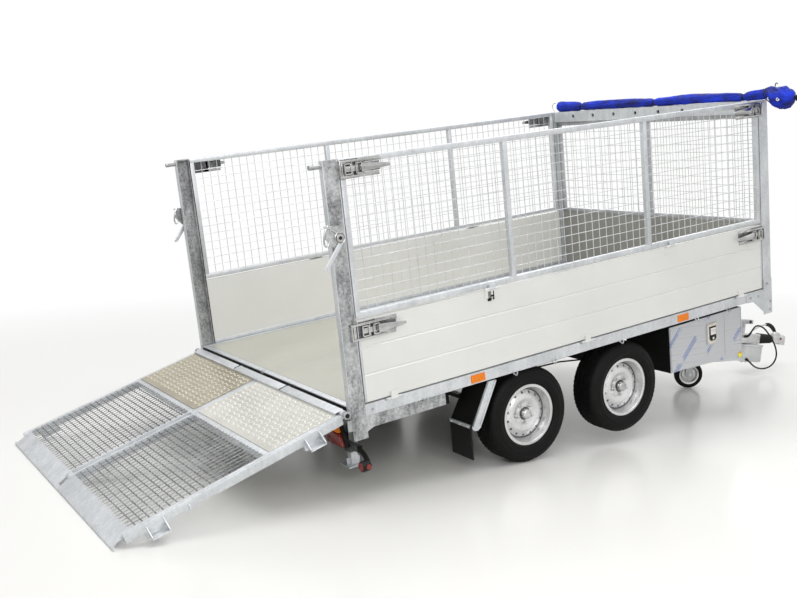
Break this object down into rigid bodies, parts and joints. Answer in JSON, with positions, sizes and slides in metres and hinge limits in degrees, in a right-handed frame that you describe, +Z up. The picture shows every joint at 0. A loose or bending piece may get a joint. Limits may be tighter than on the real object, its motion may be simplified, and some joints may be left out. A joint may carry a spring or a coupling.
{
  "type": "dump trailer",
  "caption": "Tandem-axle tipping trailer with hinged drop sides, fold-down mesh panels, a grated ramp tailgate, a lockable tool box, a jockey wheel and a height-adjustable drawbar.",
  "frame": {"origin": "on the ground, under the middle of the whole trailer's box", "axes": "+X level along the trailer towards the coupling, +Y to the trailer's left, +Z up; the trailer stands nose-up by 7 degrees on its rear wheels and jockey wheel"},
  "size_m": [5.6396, 2.1436, 2.0637],
  "materials": {
    "galvanised_steel": "zinc coated, mottled grey",
    "alloy_board": "brushed, pale",
    "floor_sheet": "worn zinc coated sheet",
    "tread_plate": "five bar tread",
    "stainless_box": "film marked sheet",
    "black_steel": "satin black",
    "rim_silver": "silver paint",
    "tyre_rubber": "matte",
    "black_rubber": "matte",
    "red_lens": "clear red",
    "grey_plastic": "moulded",
    "cast_silver": "zinc coated casting",
    "chromed_rod": "polished",
    "blue_tarpaulin": "coated fabric"
  },
  "bodies": {
    "chassis": {"chassis_frame": "galvanised_steel", "axle_rear": "black_steel", "axle_front": "black_steel", "mudguard_right": "black_steel", "mudguard_left": "black_steel", "rear_lamp_right": "red_lens", "rear_lamp_left": "red_lens", "marker_lamp_right": "black_rubber", "marker_lamp_left": "black_rubber", "tool_box": "stainless_box", "jockey_tube": "galvanised_steel"},
    "tool_box_door": {"tool_box_door": "stainless_box"},
    "stand_right": {"prop_stand_right": "galvanised_steel"},
    "stand_left": {"prop_stand_left": "galvanised_steel"},
    "jockey_leg": {"jockey_leg": "galvanised_steel"},
    "jockey_fork": {"jockey_fork": "galvanised_steel"},
    "jockey_wheel": {"jockey_wheel": "tyre_rubber"},
    "drawbar_arm": {"drawbar_arm": "galvanised_steel"},
    "coupling_head": {"coupling_unit": "cast_silver", "coupling_gaiter": "black_rubber", "brake_lever": "black_rubber", "drawbar_case": "grey_plastic", "drawbar_cable": "black_rubber"},
    "cylinder_barrel": {"tip_cylinder_barrel": "black_steel"},
    "cylinder_rod": {"tip_cylinder_rod": "chromed_rod"},
    "bed": {"bed_frame": "galvanised_steel", "bed_beam_right": "galvanised_steel", "bed_beam_left": "galvanised_steel", "cylinder_bracket": "galvanised_steel", "bed_floor": "floor_sheet", "rear_post_right": "galvanised_steel", "rear_post_left": "galvanised_steel", "front_gate": "galvanised_steel", "front_board": "alloy_board", "front_mesh": "galvanised_steel", "rolled_tarpaulin": "blue_tarpaulin"},
    "ramp": {"ramp_frame": "galvanised_steel", "ramp_tread_right": "tread_plate", "ramp_tread_left": "tread_plate"},
    "side_right": {"side_board_right": "alloy_board", "board_latch_rear_right": "galvanised_steel", "board_latch_front_right": "galvanised_steel"},
    "mesh_right": {"mesh_panel_right": "galvanised_steel"},
    "side_left": {"side_board_left": "alloy_board", "board_latch_rear_left": "galvanised_steel", "board_latch_front_left": "galvanised_steel"},
    "mesh_left": {"mesh_panel_left": "galvanised_steel"},
    "wheel_rear_right": {"tyre_rear_right": "tyre_rubber", "rim_rear_right": "rim_silver"},
    "wheel_rear_left": {"tyre_rear_left": "tyre_rubber", "rim_rear_left": "rim_silver"},
    "wheel_front_right": {"tyre_front_right": "tyre_rubber", "rim_front_right": "rim_silver"},
    "wheel_front_left": {"tyre_front_left": "tyre_rubber", "rim_front_left": "rim_silver"}
  },
  "joints": [
    {"name": "bed_tip", "type": "hinge", "parent": "chassis", "child": "bed", "pos_m": [-1.52477, 0.07178, 0.30251], "axis": [0, -1, 0], "range_deg": [0, 45]},
    {"name": "cylinder_tilt", "type": "hinge", "parent": "chassis", "child": "cylinder_barrel", "pos_m": [-0.81523, 0.07178, 0.34996], "axis": [0, -1, 0], "range_deg": [0, 66.12]},
    {"name": "cylinder_stroke", "type": "slide", "parent": "cylinder_barrel", "child": "cylinder_rod", "axis": [0.9728, 0, 0.2316], "range_m": [0, 0.3751]},
    {"name": "ramp_hinge", "type": "hinge", "parent": "bed", "child": "ramp", "pos_m": [-1.70545, 0.07178, 0.42728], "axis": [0, 1, 0], "range_deg": [-17, 102.1]},
    {"name": "side_board_hinge_right", "type": "hinge", "parent": "bed", "child": "side_right", "pos_m": [-0.19616, -0.87322, 0.64013], "axis": [0.9924, 0, 0.1227], "range_deg": [0, 110]},
    {"name": "mesh_hinge_right", "type": "hinge", "parent": "side_right", "child": "mesh_right", "pos_m": [-0.24691, -0.87322, 1.05051], "axis": [0.9924, 0, 0.1227], "range_deg": [0, 90]},
    {"name": "side_board_hinge_left", "type": "hinge", "parent": "bed", "child": "side_left", "pos_m": [-0.19616, 1.01678, 0.64013], "axis": [-0.9924, 0, -0.1227], "range_deg": [0, 110]},
    {"name": "mesh_hinge_left", "type": "hinge", "parent": "side_left", "child": "mesh_left", "pos_m": [-0.24691, 1.01678, 1.05051], "axis": [-0.9924, 0, -0.1227], "range_deg": [0, 90]},
    {"name": "tool_box_door_hinge", "type": "hinge", "parent": "chassis", "child": "tool_box_door", "pos_m": [0.84206, -0.80172, 0.39269], "axis": [0.9924, 0, 0.1227], "range_deg": [0, 100]},
    {"name": "prop_stand_slide_right", "type": "slide", "parent": "chassis", "child": "stand_right", "axis": [0.1227, 0, -0.9924], "range_m": [0, 0.1]},
    {"name": "prop_stand_slide_left", "type": "slide", "parent": "chassis", "child": "stand_left", "axis": [0.1227, 0, -0.9924], "range_m": [0, 0.1]},
    {"name": "jockey_wind", "type": "slide", "parent": "chassis", "child": "jockey_leg", "axis": [-0.1227, 0, 0.9924], "range_m": [-0.045, 0.13]},
    {"name": "jockey_swivel", "type": "hinge", "parent": "jockey_leg", "child": "jockey_fork", "pos_m": [1.60133, -0.07822, 0.24174], "axis": [-0.1227, 0, 0.9924], "continuous": true},
    {"name": "jockey_spin", "type": "hinge", "parent": "jockey_fork", "child": "jockey_wheel", "pos_m": [1.5805, -0.05371, 0.10263], "axis": [0.5405, 0.8387, 0.0668], "continuous": true},
    {"name": "drawbar_height", "type": "hinge", "parent": "chassis", "child": "drawbar_arm", "pos_m": [1.67122, 0.07178, 0.57282], "axis": [0, -1, 0], "range_deg": [-1, 45]},
    {"name": "coupling_level", "type": "hinge", "parent": "drawbar_arm", "child": "coupling_head", "pos_m": [2.24488, 0.07178, 0.28505], "axis": [0, -1, 0], "range_deg": [-45.1, 3.1]},
    {"name": "wheel_spin_rear_right", "type": "hinge", "parent": "chassis", "child": "wheel_rear_right", "pos_m": [-0.55263, -0.74072, 0.26353], "axis": [0, 1, 0], "continuous": true},
    {"name": "wheel_spin_rear_left", "type": "hinge", "parent": "chassis", "child": "wheel_rear_left", "pos_m": [-0.55263, 0.88428, 0.26353], "axis": [0, 1, 0], "continuous": true},
    {"name": "wheel_spin_front_right", "type": "hinge", "parent": "chassis", "child": "wheel_front_right", "pos_m": [0.15668, -0.74072, 0.32909], "axis": [0, 1, 0], "continuous": true},
    {"name": "wheel_spin_front_left", "type": "hinge", "parent": "chassis", "child": "wheel_front_left", "pos_m": [0.15668, 0.88428, 0.32909], "axis": [0, 1, 0], "continuous": true}
  ],
  "couplings": [
    {"joint": "cylinder_tilt", "follows": "bed_tip", "ratio": 1.4692},
    {"joint": "cylinder_stroke", "follows": "bed_tip", "m_per_rad": 0.47734},
    {"joint": "coupling_level", "follows": "drawbar_height", "ratio": -1}
  ]
}
